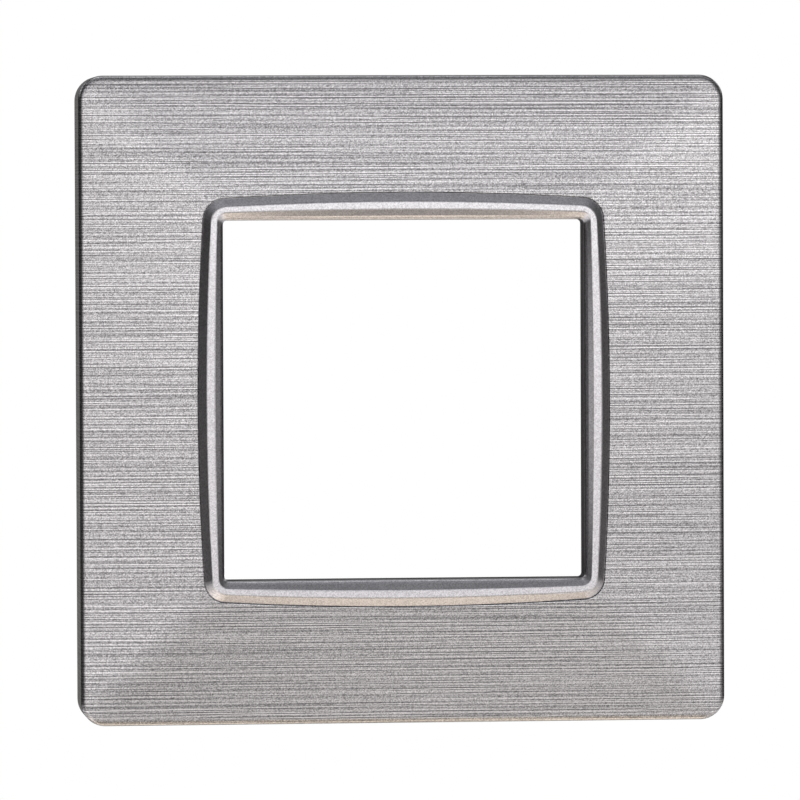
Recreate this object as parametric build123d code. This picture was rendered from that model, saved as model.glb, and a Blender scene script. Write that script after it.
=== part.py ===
from build123d import *
import os

# Square cover plate for two switch modules, modelled as it hangs on the wall.
# X is to the right, Z is up and Y goes into the wall. The origin is the middle of the rear rim,
# the rim lies on Y = 0, and a height is a distance from the wall towards the room, along -Y.

# Front plate: brushed sheet, pressed into a shallow square tray
plate_width = 80.0
plate_corner = 3.0
sheet = 0.8
face_height = 9.2
face_slope = 0.061856
edge_radius = 0.8
skirt_lift = 0.3

# Bezel ring: three bowed outlines round the opening, a run apart at mid-side, each with its bow and corner
flank_run = 1.0
foot_bow = 0.84
foot_corner = 2.6
ring_flat = 0.93
ring_outer_bow = 0.66
ring_outer_corner = 2.0
ring_inner_bow = 0.43
ring_inner_corner = 1.2
bezel_proud = 0.95
ring_edge_radius = 0.3

# Module opening, with a sloped and rounded lip in front and a collar behind
opening_width = 44.7
opening_height = 44.3
opening_corner = 0.5
lip_run_side = 1.17
lip_run_end = 1.37
lip_depth = 0.7
lip_radius = 1.0
collar_wall = 1.4
collar_length = 4.3

# Carrier tray behind the front plate, with its stiffening ribs
carrier_wall = 1.3
rim_inner_corner = 1.0
rib_thickness = 1.0
rib_spacing = 18.0
rib_depth = 1.1

# Snap hooks for the mounting frame: two above the opening, two below
hook_width = 6.0
hook_spacing = 32.0
hook_row_spacing = 57.0
hook_root_thickness = 1.8
hook_flare = 0.5
hook_tip_thickness = 1.3
hook_tip_height = 0.8
hook_catch_height = 2.2
hook_catch = 0.7
hook_lead = 0.6

# Pry notch in the bottom edge
notch_width = 8.0
notch_height = 1.4

# Fits between the two pieces
window_clearance = 0.08
skirt_clearance = 0.1
bond_film = 0.1

# Sizes that follow
ring_inner_width = opening_width + 2 * lip_run_side
ring_inner_height = opening_height + 2 * lip_run_end
ring_outer_width = ring_inner_width + 2 * ring_flat
ring_outer_height = ring_inner_height + 2 * ring_flat
foot_width = ring_outer_width + 2 * flank_run
foot_height = ring_outer_height + 2 * flank_run
crown_width = foot_width - 2 * foot_bow - 2 * foot_corner
bezel_height = face_height + bezel_proud
carrier_drop = sheet + bond_film
flange_rear_drop = carrier_drop + carrier_wall
carrier_inset = sheet + skirt_clearance


def level(height):
    """Plane parallel to the wall, at a height from it, facing the room."""
    return Plane.XZ.offset(height)


def bowed_outline(width, height, bow, corner):
    """Four-sided outline with rounded corners, whose sides stand out by the bow at mid-side."""
    x = width / 2 - bow
    z = height / 2 - bow
    corners = [(x, z), (-x, z), (-x, -z), (x, -z)]
    middles = [(0, height / 2), (-width / 2, 0), (0, -height / 2), (width / 2, 0)]
    sides = []
    for index, middle in enumerate(middles):
        start = corners[index]
        end = corners[(index + 1) % len(corners)]
        sides.append(ThreePointArc(start, middle, end) if bow else Line(start, end))
    outline = make_face(sides)
    return fillet(outline.vertices(), corner)


def square_outline(width, corner):
    """Straight-sided square with rounded corners."""
    return bowed_outline(width, width, 0, corner)


def foot_outline(clearance=0):
    """Outline where the bezel meets the face of the front plate, grown by a clearance."""
    spare = 2 * clearance
    return bowed_outline(foot_width + spare, foot_height + spare, foot_bow, foot_corner + clearance)


def opening_outline(wall=0):
    """Outline of the module opening, grown by a wall."""
    return bowed_outline(opening_width + 2 * wall, opening_height + 2 * wall, 0, opening_corner + wall)


def slope_height(width):
    """Height of the sloped faces where they are this wide across, from side to side."""
    return face_height - face_slope * (width - foot_width) / 2


def gable(drop):
    """Long bar along X whose top slopes up from both sides to a flat crown, lowered by a drop."""
    eaves = slope_height(2 * plate_width) - drop
    crown = slope_height(crown_width) - drop
    profile = Polyline(
        (0, plate_width),
        (-eaves, plate_width),
        (-crown, crown_width / 2),
        (-crown, -crown_width / 2),
        (-eaves, -plate_width),
        (0, -plate_width),
        close=True,
    )
    return extrude(Plane.YZ * make_face(profile), plate_width, both=True)


def tray_form(width, corner, drop):
    """Square block under two crossed gables: four flat faces that slope up from its edge and meet in mitres."""
    block = extrude(level(0) * square_outline(width, corner), bezel_height)
    return block & gable(drop) & Rot(0, 90, 0) * gable(drop)


def edges_at(part, height, band=0):
    """Edges of a part whose middle lies at one height, give or take a band."""
    return part.edges().filter_by_position(Axis.Y, -height - band, -height + band)


def pry_notch():
    """Slot through the bottom edge of both pieces, for a screwdriver blade."""
    reach = 2 * (carrier_inset + carrier_wall)
    slot = Pos(0, -plate_width / 2) * Rectangle(notch_width, reach)
    return extrude(level(0) * slot, notch_height)


def make_front_plate():
    """Pressed tray with a rounded edge, sloped faces and a bowed square window."""
    window = foot_outline(window_clearance)
    tray = tray_form(plate_width, plate_corner, 0)
    tray = fillet(edges_at(tray, slope_height(plate_width), sheet / 4), edge_radius)
    tray -= tray_form(plate_width - 2 * sheet, plate_corner - sheet, sheet)
    tray -= extrude(level(0) * window, bezel_height)
    tray -= extrude(level(0) * square_outline(plate_width, plate_corner), skirt_lift)
    return tray - pry_notch()


def bezel_ring():
    """Boss that fills the window of the front plate, with a flank that slopes up to the flat ring."""
    ring = bowed_outline(ring_outer_width, ring_outer_height, ring_outer_bow, ring_outer_corner)
    boss_base = face_height - flange_rear_drop
    boss = extrude(level(boss_base) * foot_outline(), face_height - boss_base)
    flank = loft([level(face_height) * foot_outline(), level(bezel_height) * ring], ruled=True)
    return boss + flank


def collar():
    """Wall round the module opening, behind the flange."""
    return extrude(level(bezel_height - collar_length) * opening_outline(collar_wall), collar_length - bezel_proud)


def module_opening():
    """Straight way through for the modules, with a rounded lip that slopes out to the inner edge of the ring."""
    ring = bowed_outline(ring_inner_width, ring_inner_height, ring_inner_bow, ring_inner_corner)
    lip_height = bezel_height - lip_depth
    lip = loft([level(lip_height) * opening_outline(), level(bezel_height) * ring], ruled=True)
    way = extrude(level(0) * opening_outline(), lip_height) + lip
    return fillet(edges_at(way, lip_height), lip_radius)


def carrier_form():
    """Outside of the carrier tray, which fits in the front plate with a film of glue between them."""
    return tray_form(plate_width - 2 * carrier_inset, plate_corner - carrier_inset, carrier_drop)


def hollow_form(drop):
    """Space inside the rim of the carrier, up to faces that lie parallel to the front, lowered by the drop."""
    width = plate_width - 2 * carrier_inset - 2 * carrier_wall
    return tray_form(width, rim_inner_corner, drop)


def stiffening_ribs():
    """Ribs between the collar and the rim: two to each side and one to each corner."""
    bars = Sketch()
    for offset in (-rib_spacing / 2, rib_spacing / 2):
        bars += Pos(offset, 0) * Rectangle(rib_thickness, plate_width)
        bars += Pos(0, offset) * Rectangle(plate_width, rib_thickness)
    for turn in (45, -45):
        bars += Rot(0, 0, turn) * Rectangle(rib_thickness, 2 * plate_width)
    space = carrier_form() - hollow_form(flange_rear_drop + rib_depth)
    space -= extrude(level(0) * opening_outline(collar_wall), face_height)
    return extrude(level(0) * bars, face_height) & space


def snap_hook():
    """Tapered hook above the opening, with a catch that faces up and a sloped tip."""
    outer = hook_row_spacing / 2
    root = slope_height(hook_row_spacing) - flange_rear_drop
    profile = Polyline(
        (-root - carrier_wall / 2, outer - hook_root_thickness - hook_flare),
        (-root - carrier_wall / 2, outer + hook_flare),
        (-root, outer + hook_flare),
        (-root + hook_flare, outer),
        (-hook_catch_height - hook_catch, outer),
        (-hook_catch_height, outer + hook_catch),
        (-hook_tip_height, outer - hook_lead),
        (-hook_tip_height, outer - hook_tip_thickness),
        (-root + hook_flare, outer - hook_root_thickness),
        (-root, outer - hook_root_thickness - hook_flare),
        close=True,
    )
    return extrude(Plane.YZ * make_face(profile), hook_width / 2, both=True)


def snap_hooks():
    """Two hooks in a row above the opening, and the same row mirrored below it."""
    hook = snap_hook()
    row = Pos(-hook_spacing / 2, 0, 0) * hook + Pos(hook_spacing / 2, 0, 0) * hook
    return row + mirror(row, Plane.XY)


def make_bezel_frame():
    """Carrier tray, bezel, collar, ribs and hooks, moulded in one round the module opening."""
    frame = carrier_form() - hollow_form(flange_rear_drop)
    frame += bezel_ring() + collar() + stiffening_ribs() + snap_hooks()
    frame -= module_opening()
    frame = fillet(edges_at(frame, bezel_height), ring_edge_radius)
    return frame - pry_notch()


front_plate = make_front_plate()
bezel_frame = make_bezel_frame()

os.makedirs("parts", exist_ok=True)
export_step(front_plate, "parts/front_plate.step")
export_step(bezel_frame, "parts/bezel_frame.step")
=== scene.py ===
# %% [markdown]
# A square switch plate, dressed for its portrait. The CAD model gives the frame: a pressed metal
# front plate and the moulded carrier behind it, in metres, with X to the right, Z up and the front
# facing -Y. This lesson leaves both where they are, rebuilds the front plate as a finer surface,
# and gives each a finish worked out from what the real one is made of.

# %% Load the frame
import math
import bpy
import numpy as np
from mathutils import Matrix, Vector


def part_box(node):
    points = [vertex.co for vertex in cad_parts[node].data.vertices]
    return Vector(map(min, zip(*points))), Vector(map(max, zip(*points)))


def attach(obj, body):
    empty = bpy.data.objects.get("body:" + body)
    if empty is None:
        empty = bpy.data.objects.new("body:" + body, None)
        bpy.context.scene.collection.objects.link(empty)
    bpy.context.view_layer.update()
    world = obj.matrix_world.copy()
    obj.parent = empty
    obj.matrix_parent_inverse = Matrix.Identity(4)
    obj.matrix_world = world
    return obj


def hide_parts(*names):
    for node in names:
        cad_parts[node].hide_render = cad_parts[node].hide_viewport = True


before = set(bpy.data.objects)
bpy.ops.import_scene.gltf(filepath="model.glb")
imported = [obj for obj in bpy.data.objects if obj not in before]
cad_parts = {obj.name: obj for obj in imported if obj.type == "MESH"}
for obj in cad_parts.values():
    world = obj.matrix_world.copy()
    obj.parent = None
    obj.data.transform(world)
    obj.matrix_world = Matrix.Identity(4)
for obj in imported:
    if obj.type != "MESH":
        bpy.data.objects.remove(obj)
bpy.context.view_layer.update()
MM = 0.001

# %% [markdown]
# Every material below is a small tree of nodes, so one helper adds a node, sets its properties and
# fills its inputs: a socket is linked, and anything else becomes the input's own value. Colours are
# written as the hex values a picture editor shows, and Blender works in linear light, so a second
# helper converts them.


# %% Helpers for node trees and colours
def add_node(tree, kind, inputs=None, **settings):
    """Adds a node of a kind with its settings, and links or sets its inputs by name or index."""
    node = tree.nodes.new(kind)
    for name, value in settings.items():
        setattr(node, name, value)
    for name, value in (inputs or {}).items():
        if isinstance(value, bpy.types.NodeSocket):
            tree.links.new(value, node.inputs[name])
        else:
            node.inputs[name].default_value = value
    return node


def linear(hex_colour):
    """Linear colour of an sRGB hex value: c / 12.92 in the toe, ((c + 0.055) / 1.055) ** 2.4 above it."""
    digits = hex_colour.lstrip("#")
    channels = [int(digits[i:i + 2], 16) / 255 for i in (0, 2, 4)]
    return tuple(c / 12.92 if c <= 0.04045 else ((c + 0.055) / 1.055) ** 2.4 for c in channels) + (1.0,)


def empty_tree(owner):
    """Gives a material or a world a node tree with nothing in it."""
    owner.use_nodes = True
    owner.node_tree.nodes.clear()
    return owner.node_tree


print("mid grey in linear light", [round(c, 3) for c in linear("#808080")])

# %% [markdown]
# The front plate is sheet metal pressed into a shallow tray: a skirt, a rounded edge, four flat faces
# that rise gently to a window, and the window's own bowed sides. A subdivided cube would need many
# bevels to get there. All its lines, though, are one family of outlines, squares with rounded corners
# and slightly bowed sides. So the plate is a surface of two parameters: one runs round the outline,
# the other runs along the plate's section, from the rim over the edge to the window and back inside.

# %% The family of outlines
SIDE_STEPS = 44
CORNER_STEPS = 14
STRAIGHT = 0.001
# Half the width of the pry notch, and the slit in which each of its sides steps up, in mm
notch_half = 4.0
notch_slit = 0.04
plate_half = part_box("front_plate")[1].x / MM
plate_corner = 3.0
straight_run = plate_half - plate_corner
notch_sides = np.array([-notch_half - notch_slit, -notch_half, notch_half, notch_half + notch_slit])
even_path = np.linspace(-1, 1, SIDE_STEPS, endpoint=False)
side_path = np.sort(np.concatenate([even_path, notch_sides / straight_run]))
corner_path = np.linspace(0, 1, CORNER_STEPS, endpoint=False)


def bowed_square(half, bow, corner):
    """Points round a square with bowed sides and rounded corners, clockwise from the top side.

    A side is an arc of radius R = ((half - bow)^2 + bow^2) / (2 bow) that reaches half from the middle.
    A corner is an arc of the corner's radius, tangent to both sides, about a point c along X and Z,
    where c^2 + (c + R - half)^2 = (R - corner)^2. One side and one corner are turned four times.
    Columns of sizes give a row of points for each size.
    """
    radius = ((half - bow) ** 2 + bow ** 2) / (2 * bow)
    centre = (np.sqrt(2 * (radius - corner) ** 2 - (radius - half) ** 2) - (radius - half)) / 2
    meeting = np.arctan2(centre, centre + radius - half)
    side = meeting * side_path
    turn = meeting + (np.pi / 2 - 2 * meeting) * corner_path
    x = np.concatenate([radius * np.sin(side), centre + corner * np.sin(turn)], axis=-1)
    z = np.concatenate([half - radius + radius * np.cos(side), centre + corner * np.cos(turn)], axis=-1)
    return np.concatenate([x, z, -x, -z], axis=-1), np.concatenate([z, -x, -z, x], axis=-1)


outline_x, outline_z = bowed_square(plate_half, STRAIGHT, plate_corner)
print("outline of", outline_x.size, "points, reaching", outline_x.max().round(3), "mm")

# %% [markdown]
# The section of the plate is worked out next. The faces rise in a straight slope, so the height of a
# point on them depends only on the rounded square that passes through it. Near the diagonals, that
# square's corner turns one slope into the next, which is the soft mitre a press leaves in sheet metal.

# %% The sloped faces
sheet = 0.8
face_height = 9.2
face_fall = 0.9
edge_radius = 0.8
foot_half = 25.45
foot_bow = 0.84
foot_corner = 2.6
window_clearance = 0.08
slope = face_fall / (plate_half - foot_half)
edge_end = np.pi / 2 - np.arctan(slope)
edge_centre = face_height - slope * (plate_half - edge_radius - foot_half) - edge_radius * np.hypot(1, slope)
face_half = plate_half - edge_radius * (1 - np.cos(edge_end))
mitre_corner = plate_corner - plate_half + face_half


def slope_height(x, z):
    """Height of the faces over a point: face height, less slope times the reach past the bezel's foot.

    The reach is the half-width of the rounded square through the point: the larger of |x| and |z|, or
    r + (|x| + |z| - sqrt(2 r^2 - (|x| - |z|)^2)) / 2 where they differ by less than the corner r.
    """
    apart = np.abs(np.abs(x) - np.abs(z))
    corner = np.sqrt(np.maximum(2 * mitre_corner ** 2 - apart ** 2, mitre_corner ** 2))
    rounded = mitre_corner + (np.abs(x) + np.abs(z) - corner) / 2
    reach = np.where(apart < mitre_corner, rounded, np.maximum(np.abs(x), np.abs(z)))
    return face_height - slope * (reach - foot_half)


print("slope", round(math.degrees(math.atan(slope)), 2), "degrees, edge starts",
      round(edge_centre, 3), "mm up")

# %% [markdown]
# Each stretch of the section is a stack of outlines: the rounded rim, the skirt, the edge's quarter
# circle, the face, the window's rounded brim, its wall, the underside and the inside of the skirt. The
# pry notch in the bottom edge is the rim itself, which jumps up for eight millimetres of the outline.

# %% Helpers for the section
rim_radius = 0.1
brim_radius = 0.12
notch_height = 1.4
skirt_lift = -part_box("front_plate")[1].y / MM
in_notch = (outline_z < -straight_run) & (np.abs(outline_x) < notch_half + notch_slit / 2)
rim = np.where(in_notch, notch_height, skirt_lift)
TURN_STEPS = 5
EDGE_STEPS = 16
FACE_STEPS = 22
UNDERSIDE_STEPS = 12
edge_turn = np.linspace(0, edge_end, EDGE_STEPS)[:, None]
# A quarter turn in steps, then shares of the way along each stretch, closest where the sheet bends
QUARTER = np.linspace(0, np.pi / 2, TURN_STEPS)[:, None]
SKIRT = np.array([0.01, 0.1, 0.25, 0.45, 0.65, 0.85, 0.97])[:, None]
FACE = np.concatenate([[0.004], np.linspace(0.03, 0.97, FACE_STEPS), [0.996]])[:, None]
UNDERSIDE = np.linspace(0, 1, UNDERSIDE_STEPS)[:, None]


def skirt_outline(half):
    """Outline of the tray at a half-width: the plate's own outline, set in evenly all round."""
    return bowed_square(half, STRAIGHT, plate_corner - plate_half + half)


def window_outline(growth):
    """Outline of the window, grown evenly."""
    spare = window_clearance + growth
    return bowed_square(foot_half + spare, foot_bow, foot_corner + spare)


def blend(start, end, share):
    """Points that lie a share of the way from one outline to the other."""
    return [a + (b - a) * share for a, b in zip(start, end)]


print("notch of", int(in_notch.sum()), "points in the rim")

# %% [markdown]
# Now the stretches follow one another, from the rim over the skirt and the face to the window, and
# back inside to the rim. Each row is an outline's X and Z with its height above the wall.

# %% The plate's section, carried round the outline
rim_in = rim_radius * (1 - np.sin(QUARTER))
rim_up = rim_radius * (1 - np.cos(QUARTER))
brim_out = brim_radius * (1 - np.sin(QUARTER))
brim_down = brim_radius * (1 - np.cos(QUARTER))
inner_half = plate_half - sheet
skirt_top = edge_centre - rim - rim_radius
edge_half = plate_half - edge_radius * (1 - np.cos(edge_turn))
sections = [
    (*skirt_outline(plate_half - rim_in), rim + rim_up),
    (*skirt_outline(np.full_like(SKIRT, plate_half)), rim + rim_radius + skirt_top * SKIRT),
    (*skirt_outline(edge_half), edge_centre + edge_radius * np.sin(edge_turn)),
]
face = blend(skirt_outline(face_half), window_outline(brim_radius), FACE)
brim = window_outline(brim_out)
wall = window_outline(np.zeros_like(SKIRT))
underside = blend(window_outline(0), skirt_outline(inner_half), UNDERSIDE)
inside = skirt_outline(np.full_like(SKIRT, inner_half))
inside_top = slope_height(*skirt_outline(inner_half)) - sheet
sections += [
    (*face, slope_height(*face)),
    (*brim, slope_height(*brim) - brim_down),
    (*wall, slope_height(*wall) - brim_radius - (sheet - brim_radius) * SKIRT),
    (*underside, slope_height(*underside) - sheet),
    (*inside, inside_top - (inside_top - rim - rim_radius) * SKIRT),
    (*skirt_outline(inner_half + rim_in[::-1]), rim + rim_up[::-1]),
]
rows = [np.broadcast_to(row, (len(x), outline_x.size))
        for x, z, height in sections for row in (x, z, height)]
grid_x, grid_z, grid_height = (np.concatenate(rows[axis::3]) for axis in range(3))
print("grid of", grid_x.shape, "points, heights", grid_height.min().round(3), "to",
      grid_height.max().round(3), "mm")

# %% [markdown]
# The brushing was done on the flat sheet, before pressing, so its lines run straight across the face
# and carry on over the edge and down the skirt. The UV map holds that flat blank: every point's place
# on the sheet before it was bent. On the face that is its own X and Z, and past the edge it goes on by
# the length of the bend.

# %% The flat blank as a UV map
past_edge = np.clip(face_half + edge_radius * edge_end + edge_centre - grid_height, 0, None)
edge_rows = slice(len(rim_in) + len(SKIRT), len(rim_in) + len(SKIRT) + len(edge_turn))
blank_half = past_edge[:edge_rows.stop].mean(axis=1, keepdims=True)
blank_half[edge_rows] = face_half + edge_radius * (edge_end - edge_turn)
blank_x, blank_z = grid_x.copy(), grid_z.copy()
blank_x[:edge_rows.stop], blank_z[:edge_rows.stop] = skirt_outline(blank_half)
print("blank", np.ptp(blank_x).round(2), "by", np.ptp(blank_z).round(2), "mm before pressing")

# %% [markdown]
# The grid closes on itself both ways, round the outline and round the section, so the mesh has no
# border. Its points and quads go in as whole arrays. The volume that the faces enclose tells which way
# they point: it is positive when they look outwards.


# %% Put the surface into a mesh
def closed_grid(name, x, y, z, u, v):
    """Mesh of a grid closed both ways: each point joins the next along its row and its column."""
    rows, columns = x.shape
    index = np.arange(rows * columns).reshape(rows, columns)
    below = np.roll(index, -1, axis=0)
    quads = np.stack([index, below, np.roll(below, -1, axis=1), np.roll(index, -1, axis=1)], axis=-1)
    quads = quads.reshape(-1, 4)
    mesh = bpy.data.meshes.new(name)
    mesh.from_pydata(np.stack([x, y, z], axis=-1).reshape(-1, 3), [], quads)
    mesh.polygons.foreach_set("use_smooth", np.ones(len(quads), dtype=bool))
    layer = mesh.uv_layers.new(name="blank")
    flat = np.stack([u, v], axis=-1).reshape(-1, 2)
    layer.data.foreach_set("uv", flat[quads.ravel()].ravel())
    mesh.update()
    piece = bpy.data.objects.new(name, mesh)
    bpy.context.scene.collection.objects.link(piece)
    return piece


pressed_plate = closed_grid("pressed_plate", grid_x * MM, -grid_height * MM, grid_z * MM,
                            blank_x * MM, blank_z * MM)
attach(pressed_plate, "root")
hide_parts("front_plate")
faces = pressed_plate.data.polygons
volume = sum(quad.center.dot(quad.normal) * quad.area for quad in faces) / 3
print("pressed plate:", len(faces), "faces round", round(volume / MM ** 3), "cubic mm")

# %% [markdown]
# Brushed aluminium: the sheet is drawn under an abrasive belt, which leaves fine parallel scratches,
# and is then clear anodised. Across the scratches light is spread widely, along them hardly at all, so
# the highlight is a tall streak: that is the shader's anisotropy, turned a quarter so that it spreads
# along Z. Bump could draw the scratches, but they are finer than a pixel and would only shimmer. So each
# is painted as the eye sees it, a groove with one wall in the light and the other, beside it, in the
# shade. Both walls are the same long thin cells, shifted by a width. The real ones are some hundredths
# of a millimetre wide, so they are drawn coarser, at 0.1 mm, and so is the grit between them.

# %% Brushed aluminium
brushed = bpy.data.materials.new("brushed aluminium, clear anodised")
tree = empty_tree(brushed)
blank = add_node(tree, "ShaderNodeUVMap", uv_map="blank").outputs["UV"]
# Each layer: what it is, its pattern, the length and width of a mark in mm, its weight, its shift in mm
grain_layers = [
    ("scratch walls in the light", "ShaderNodeTexVoronoi", 24.0, 0.105, 1.0, 0.0),
    ("scratch walls in the shade", "ShaderNodeTexVoronoi", 24.0, 0.105, -0.78, 0.105),
    ("grit", "ShaderNodeTexVoronoi", 0.11, 0.09, 0.85, 0.0),
    ("bands", "ShaderNodeTexNoise", 60.0, 1.6, 0.2, 0.0),
]
# Under the middle, so that the bright marks stand out more than the dark ones
mean_tone = 0.42
tone = mean_tone - sum(layer[4] for layer in grain_layers) / 2
for label, pattern, length, width, weight, shift in grain_layers:
    per_mark = (1 / (length * MM), 1 / (width * MM), 1)
    stretched = add_node(tree, "ShaderNodeMapping", {
        "Vector": blank, "Location": (0, shift / width, 0), "Scale": per_mark})
    cells = add_node(tree, pattern, {
        "Vector": stretched.outputs[0], "Scale": 1.0, "Detail": 0.0}, label=label)
    tone = add_node(tree, "ShaderNodeMath", {0: cells.outputs["Color"], 1: weight, 2: tone},
                    operation="MULTIPLY_ADD").outputs[0]
metal = add_node(tree, "ShaderNodeValToRGB", {"Fac": tone})
metal.color_ramp.elements[0].color = linear("#6E6D6F")
metal.color_ramp.elements[1].color = linear("#FFFEFF")
dark_roughness = 0.29
bright_roughness = 0.24
streak = 0.5
quarter_turn = 0.25
gloss = add_node(tree, "ShaderNodeMapRange", {
    "Value": tone, "To Min": dark_roughness, "To Max": bright_roughness})
tangent = add_node(tree, "ShaderNodeTangent", direction_type="UV_MAP", uv_map="blank")
shader = add_node(tree, "ShaderNodeBsdfPrincipled", {
    "Base Color": metal.outputs["Color"], "Metallic": 1.0, "Roughness": gloss.outputs[0],
    "Anisotropic": streak, "Anisotropic Rotation": quarter_turn, "Tangent": tangent.outputs[0]})
add_node(tree, "ShaderNodeOutputMaterial", {"Surface": shader.outputs[0]})
pressed_plate.data.materials.append(brushed)
print("brushed aluminium with", len(grain_layers), "layers of grain")

# %% [markdown]
# The bezel and the carrier behind the plate are one moulding of dark grey ABS. Its front has a coat of
# silver lacquer full of fine aluminium flakes, whose sparkle is a painted glint: each flake is a random
# lighter or darker silver in the colour. The spray comes from the front, so faces that look sideways or
# back keep the ABS's own colour, with the faint clouds of its flow in the mould and the matt grain that
# spark erosion leaves in the steel; on the walls inside the opening that dark colour is painted shade as
# well. Flakes and grain are a few hundredths of a millimetre on the real one, and are drawn coarser so
# that they show. The shape is right as it is in the CAD, so its node stays and only gets this finish.

# %% Silver lacquer
lacquered = bpy.data.materials.new("silver flake lacquer on moulded ABS")
tree = empty_tree(lacquered)
place = add_node(tree, "ShaderNodeTexCoord")
flake_size = 0.13
flakes = add_node(tree, "ShaderNodeTexVoronoi", {
    "Vector": place.outputs["Object"], "Scale": 1 / (flake_size * MM)})
glint = add_node(tree, "ShaderNodeSeparateColor", {"Color": flakes.outputs["Color"]})
# Each flake's random lighter or darker silver is a painted glint, for how it would catch the light
silver = add_node(tree, "ShaderNodeValToRGB", {"Fac": glint.outputs[0]})
silver.color_ramp.elements[0].color = linear("#C9C8CB")
silver.color_ramp.elements[1].color = linear("#F3F2F5")
looks = add_node(tree, "ShaderNodeSeparateXYZ", {"Vector": place.outputs["Normal"]})
# Y of the normal up to which a face keeps the dark ABS, on the opening's walls also painted shade, and from
# which silver covers it
dark_until = -0.03
silver_from = -0.3
silver_share = add_node(tree, "ShaderNodeMapRange", {
    "Value": looks.outputs["Y"], "From Min": dark_until, "From Max": silver_from},
    interpolation_type="SMOOTHSTEP")
print("silver flakes of", flake_size, "mm")

# %% [markdown]
# The bare ABS has its own colour, its clouds and its grain. The same share of silver that mixes the
# two colours also mixes their gloss and flattens the grain, since lacquer fills it. Where that dark colour
# lies on the walls inside the opening, it is painted shade as well.

# %% Bare ABS, and the two finishes joined
flow_size = 7.0
grain_size = 0.45
grain_depth = 0.14
grain_strength = 0.9
plastic_roughness = 0.65
lacquer_roughness = 0.3
flow = add_node(tree, "ShaderNodeTexNoise", {
    "Vector": place.outputs["Object"], "Scale": 1 / (flow_size * MM)})
# Dark ABS colour with its flow clouds; on the walls inside the opening it is painted shade as well
bare_abs_and_painted_shade = add_node(tree, "ShaderNodeValToRGB", {"Fac": flow.outputs[0]})
bare_abs_and_painted_shade.color_ramp.elements[0].color = linear("#38373A")
bare_abs_and_painted_shade.color_ramp.elements[1].color = linear("#525153")
colour = add_node(tree, "ShaderNodeMix", {
    0: silver_share.outputs[0], 6: bare_abs_and_painted_shade.outputs["Color"], 7: silver.outputs["Color"]}, data_type="RGBA")
grain = add_node(tree, "ShaderNodeTexNoise", {
    "Vector": place.outputs["Object"], "Scale": 1 / (grain_size * MM)})
bare = add_node(tree, "ShaderNodeMapRange", {
    "Value": silver_share.outputs[0], "To Min": grain_strength, "To Max": 0.0})
matt = add_node(tree, "ShaderNodeBump", {
    "Strength": bare.outputs[0], "Distance": grain_depth * MM, "Height": grain.outputs[0]})
rough = add_node(tree, "ShaderNodeMapRange", {
    "Value": silver_share.outputs[0], "To Min": plastic_roughness, "To Max": lacquer_roughness})
shader = add_node(tree, "ShaderNodeBsdfPrincipled", {
    "Base Color": colour.outputs[2], "Metallic": silver_share.outputs[0], "Roughness": rough.outputs[0],
    "Normal": matt.outputs[0]})
add_node(tree, "ShaderNodeOutputMaterial", {"Surface": shader.outputs[0]})
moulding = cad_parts["bezel_frame"].data
moulding.materials.clear()
moulding.materials.append(lacquered)
print("ABS with grain of", grain_size, "mm under the lacquer on bezel_frame")

# %% [markdown]
# The portrait is taken almost straight on with a long lens, from a little to the left and a little
# above. The distance and the angles come from fitting the plate's outline, the bezel's foot and the
# opening, which lie at three depths and so shift against each other as the camera moves.

# %% Camera
target = Vector((-0.56 * MM, -9.2 * MM, -0.04 * MM))
distance = 850 * MM
azimuth = math.radians(-6.2)
elevation = math.radians(1.55)
roll = math.radians(-0.22)
view_width = 98.6 * MM


def toward(azimuth, elevation):
    """Direction from the plate: azimuth to the right of straight ahead, elevation above it."""
    return Vector((math.sin(azimuth) * math.cos(elevation), -math.cos(azimuth) * math.cos(elevation),
                   math.sin(elevation)))


def aimed(obj, place, aim, turned=0.0):
    """Puts a camera or a lamp at a place, facing a point, and turns it about that line."""
    look = (aim - place).to_track_quat("-Z", "Y").to_matrix().to_4x4()
    obj.matrix_world = Matrix.Translation(place) @ look @ Matrix.Rotation(turned, 4, "Z")


camera_data = bpy.data.cameras.new("camera")
camera_data.sensor_width = 36
camera_data.lens = camera_data.sensor_width * distance / view_width
camera_data.clip_start = 0.01
camera = bpy.data.objects.new("camera", camera_data)
bpy.context.scene.collection.objects.link(camera)
aimed(camera, target + toward(azimuth, elevation) * distance, target, roll)
bpy.context.scene.camera = camera
bpy.context.scene.view_settings.view_transform = "Standard"
print("lens", round(camera_data.lens, 1), "mm")

# %% [markdown]
# The studio is a tent of white cloth. Metal shows what it reflects, so the tent matters more than any
# lamp. It could be built from lit sheets, but a tent painted on the world by direction has no seams and
# no noise. One ramp of shades runs round the plate: the paper behind, the warm table below, the bright
# front, the roof, and the paper again. A second ramp darkens it towards the open sides.

# %% The tent's shades
world = bpy.data.worlds.new("light tent")
bpy.context.scene.world = world
tree = empty_tree(world)
tent_strength = 1.77
# Degrees round the plate, from 0 straight in front, up over the roof and down under the table
tent_band = [
    (-180, "#5A5958"), (-150, "#6A6764"), (-125, "#AEA69E"), (-98, "#D6C9BB"), (-80, "#E2D4C4"),
    (-66, "#9E958D"), (-52, "#4E4B48"), (-36, "#B4B1AE"), (-22, "#A8A5A3"), (-10, "#A9A4A2"),
    (-6, "#BAB6B5"), (-3, "#EAE7E8"), (0, "#F9F7F8"), (3, "#F6F4F6"), (7, "#AEACAE"),
    (14, "#A09EA0"), (26, "#B0AEB0"), (34, "#B0AFB0"), (42, "#8A8A8C"), (51, "#363638"),
    (60, "#6E6E70"), (80, "#78787C"), (87, "#7D7D81"), (92, "#8A8A8D"), (98, "#C8C8CA"),
    (108, "#BEBEC0"), (120, "#6A6A6B"), (150, "#565656"), (180, "#5A5958"),
]
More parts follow.
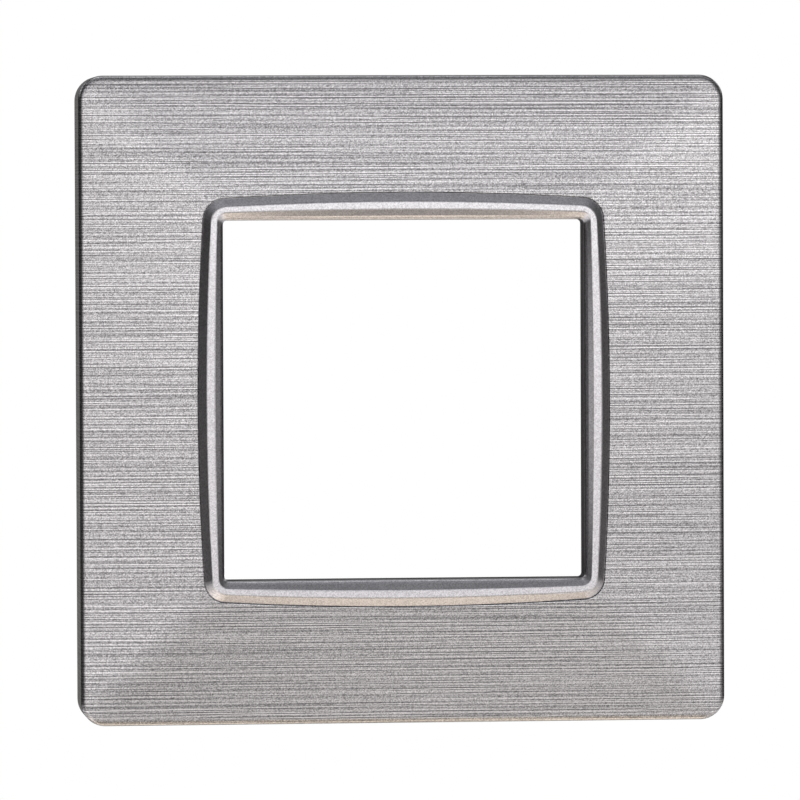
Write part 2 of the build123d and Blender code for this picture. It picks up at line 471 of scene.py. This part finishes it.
# Sideways part of the direction, from -1 on the left to 1 on the right
open_sides = [
    (-1.0, "#202020"), (-0.97, "#242424"), (-0.88, "#727272"), (-0.74, "#B4B4B4"), (-0.6, "#DEDEDE"),
    (-0.4, "#F8F8F8"), (-0.1, "#FFFFFF"), (0.05, "#D4D4D4"), (0.14, "#F9F9F9"), (0.26, "#EAEAEA"),
    (0.38, "#E0E0E0"), (0.54, "#C0C0C0"), (0.8, "#949494"), (0.93, "#707070"), (1.0, "#4E4E4E"),
]
print("tent with", len(tent_band), "shades round the plate and", len(open_sides), "across")

# %% [markdown]
# The angle round the plate is the arctangent of up over front, and the way across is the direction's
# X. Each is brought to the range from 0 to 1 and read from its ramp.

# %% The tent's ramps
direction = add_node(tree, "ShaderNodeTexCoord").outputs["Generated"]
split = add_node(tree, "ShaderNodeSeparateXYZ", {"Vector": direction})
front = add_node(tree, "ShaderNodeMath", {0: split.outputs["Y"], 1: -1.0}, operation="MULTIPLY")
around = add_node(tree, "ShaderNodeMath", {0: split.outputs["Z"], 1: front.outputs[0]}, operation="ARCTAN2")
along = add_node(tree, "ShaderNodeMapRange", {
    "Value": around.outputs[0], "From Min": -math.pi, "From Max": math.pi})
across = add_node(tree, "ShaderNodeMapRange", {
    "Value": split.outputs["X"], "From Min": -1.0, "From Max": 1.0})
band = add_node(tree, "ShaderNodeValToRGB", {"Fac": along.outputs[0]})
sides = add_node(tree, "ShaderNodeValToRGB", {"Fac": across.outputs[0]})
for ramp, shades in ((band.color_ramp, tent_band), (sides.color_ramp, open_sides)):
    low = shades[0][0]
    high = shades[-1][0]
    for spot, shade in shades[1:-1]:
        ramp.elements.new((spot - low) / (high - low)).color = linear(shade)
    ramp.elements[0].color = linear(shades[0][1])
    ramp.elements[-1].color = linear(shades[-1][1])
print("ramps with", len(band.color_ramp.elements), "and", len(sides.color_ramp.elements), "stops")

# %% [markdown]
# Behind the plate the paper is a sheet of limited width, and past its edges the tent is dark.

# %% The paper behind
# Sideways part of the direction up to which the sheet is full, and from which it is at its least
sheet_full = 0.2
sheet_ends = 0.5
sheet_least = 0.05
behind_full = 0.35
aside = add_node(tree, "ShaderNodeMath", {0: split.outputs["X"]}, operation="ABSOLUTE")
sheet_behind = add_node(tree, "ShaderNodeMapRange", {
    "Value": aside.outputs[0], "From Min": sheet_full, "From Max": sheet_ends,
    "To Min": 1.0, "To Max": sheet_least}, interpolation_type="SMOOTHSTEP")
behind = add_node(tree, "ShaderNodeMapRange", {
    "Value": split.outputs["Y"], "From Min": 0.0, "From Max": behind_full},
    interpolation_type="SMOOTHSTEP")
width = add_node(tree, "ShaderNodeMix", {
    0: behind.outputs[0], 6: sides.outputs["Color"], 7: sheet_behind.outputs[0]}, data_type="RGBA")
cloth = add_node(tree, "ShaderNodeMix", {0: 1.0, 6: band.outputs["Color"], 7: width.outputs[2]},
                 data_type="RGBA", blend_type="MULTIPLY")
print("paper behind ends", round(math.degrees(math.asin(sheet_ends))), "degrees to each side")

# %% [markdown]
# Pale corners fill in where only slanted views find them. The product of four soft limits says where
# they are. The camera itself sees plain white paper, because the ray that comes from it is told apart.

# %% The pale corners, and the tent joined
forward_lean = -0.6
upright = add_node(tree, "ShaderNodeMath", {0: split.outputs["Z"]}, operation="ABSOLUTE")
depth = add_node(tree, "ShaderNodeMath", {0: split.outputs["Y"]}, operation="ABSOLUTE")
lean = add_node(tree, "ShaderNodeMath", {
    0: split.outputs["Y"], 1: forward_lean, 2: split.outputs["Z"]}, operation="MULTIPLY_ADD")
# To the side, above or below, less so in the plate's plane, not high in front. Each limit: what it goes
# by, where it starts, where it is full, and the least share
corner_limits = [
    (aside, 0.25, 0.48, 0.0),
    (upright, 0.14, 0.36, 0.0),
    (depth, 0.1, 0.45, 0.6),
    (lean, 0.35, 0.15, 0.0),
]
slant = 1.0
for amount, start, end, least in corner_limits:
    share = add_node(tree, "ShaderNodeMapRange", {
        "Value": amount.outputs[0], "From Min": start, "From Max": end, "To Min": least},
        interpolation_type="SMOOTHSTEP")
    slant = add_node(tree, "ShaderNodeMath", {0: slant, 1: share.outputs[0]},
                     operation="MULTIPLY").outputs[0]
corners = add_node(tree, "ShaderNodeMix", {0: slant, 6: cloth.outputs[2], 7: linear("#A6A5A7")},
                   data_type="RGBA", blend_type="ADD")
tent = add_node(tree, "ShaderNodeBackground", {"Color": corners.outputs[2], "Strength": tent_strength})
paper = add_node(tree, "ShaderNodeBackground", {"Color": linear("#FFFFFF")})
rays = add_node(tree, "ShaderNodeLightPath")
seen = add_node(tree, "ShaderNodeMixShader", {
    0: rays.outputs["Is Camera Ray"], 1: tent.outputs[0], 2: paper.outputs[0]})
add_node(tree, "ShaderNodeOutputWorld", {"Surface": seen.outputs[0]})
print("tent of", len(tree.nodes), "nodes with", len(corner_limits), "limits to its pale corners")

# %% [markdown]
# Three lamps join the tent. A strip lamp hangs close in front, level with the top of the plate and to its
# right. A lamp that is close by lights the near part of the plate more than the far part, which a painted
# sky can't do. For the same reason a warm strip lies close under the plate: only the rounded bottom edge
# finds it. A third, broad one stands behind and to one side, so that the dark moulding's ribs and hooks
# show in relief from the back, and it stays out of reflections. None shows in the picture.

# %% The lamps
strip_size = (200 * MM, 30 * MM)
strip_place = Vector((60 * MM, -209 * MM, 36 * MM))
strip_radiance = 0.7
table_size = (100 * MM, 14 * MM)
table_place = Vector((0, -45 * MM, -85 * MM))
table_radiance = 0.9
bottom_edge = Vector((0, -9 * MM, -40 * MM))
fill_size = (600 * MM, 600 * MM)
fill_place = Vector((0.7, 1.1, 0))
fill_radiance = 30.0


def lamp(name, size, radiance, place, aim, tint="#FFFFFF"):
    """Area lamp of a size, radiance and tint, facing a point: its power is pi times radiance times area."""
    data = bpy.data.lights.new(name, "AREA")
    data.shape = "RECTANGLE"
    data.size, data.size_y = size
    data.energy = math.pi * radiance * size[0] * size[1]
    data.color = linear(tint)[:3]
    obj = bpy.data.objects.new(name, data)
    bpy.context.scene.collection.objects.link(obj)
    aimed(obj, place, aim)
    obj.visible_camera = False
    return obj


lamp("strip lamp", strip_size, strip_radiance, strip_place, strip_place + Vector((0, 1, 0)))
lamp("warm strip below", table_size, table_radiance, table_place, bottom_edge, "#F2DFCB")
fill = lamp("fill behind", fill_size, fill_radiance, fill_place, target)
fill.visible_glossy = False
print("strip lamp", round(-strip_place.y, 3), "m in front, warm strip", round(-table_place.z, 3),
      "m down, fill", round(fill_place.y, 3), "m behind")

# %% [markdown]
# A switch sits about 1.1 m above the floor. The floor is a pale disc at that depth. It is pale by painted
# light: its emission makes it glow softly, like a light table, so that it stays pale without a lamp of its
# own, and glow a little more towards its edge, where it meets the white paper. It stays out of reflections.

# %% The floor
FLOOR_STEPS = 96
floor_depth = 1.1
floor_radius = 8.0
floor_turn = np.linspace(0, 2 * np.pi, FLOOR_STEPS, endpoint=False)
floor_edge = np.stack([floor_radius * np.cos(floor_turn), floor_radius * np.sin(floor_turn),
                       np.full(FLOOR_STEPS, -floor_depth)], axis=-1)
floor_mesh = bpy.data.meshes.new("floor")
floor_mesh.from_pydata(floor_edge, [], [np.arange(FLOOR_STEPS)])
floor = bpy.data.objects.new("floor", floor_mesh)
bpy.context.scene.collection.objects.link(floor)
floor.visible_glossy = False
floor.visible_diffuse = False
acrylic = bpy.data.materials.new("pale acrylic floor with painted glow")
tree = empty_tree(acrylic)
place = add_node(tree, "ShaderNodeTexCoord").outputs["Object"]
reach = add_node(tree, "ShaderNodeVectorMath", {0: place}, operation="LENGTH")
glow_near = 1.5
glow_far = 6.0
glow_least = 0.56
glow_most = 0.86
floor_roughness = 0.6
# Painted light: the floor's emission, stronger from near the middle out towards its edge
painted_glow = add_node(tree, "ShaderNodeMapRange", {
    "Value": reach.outputs["Value"], "From Min": glow_near, "From Max": glow_far,
    "To Min": glow_least, "To Max": glow_most}, interpolation_type="SMOOTHSTEP")
shader = add_node(tree, "ShaderNodeBsdfPrincipled", {
    "Base Color": linear("#E9E7E4"), "Roughness": floor_roughness,
    "Emission Color": linear("#F4F2EF"), "Emission Strength": painted_glow.outputs[0]})
add_node(tree, "ShaderNodeOutputMaterial", {"Surface": shader.outputs[0]})
floor_mesh.materials.append(acrylic)
print("floor", floor_depth, "m below")
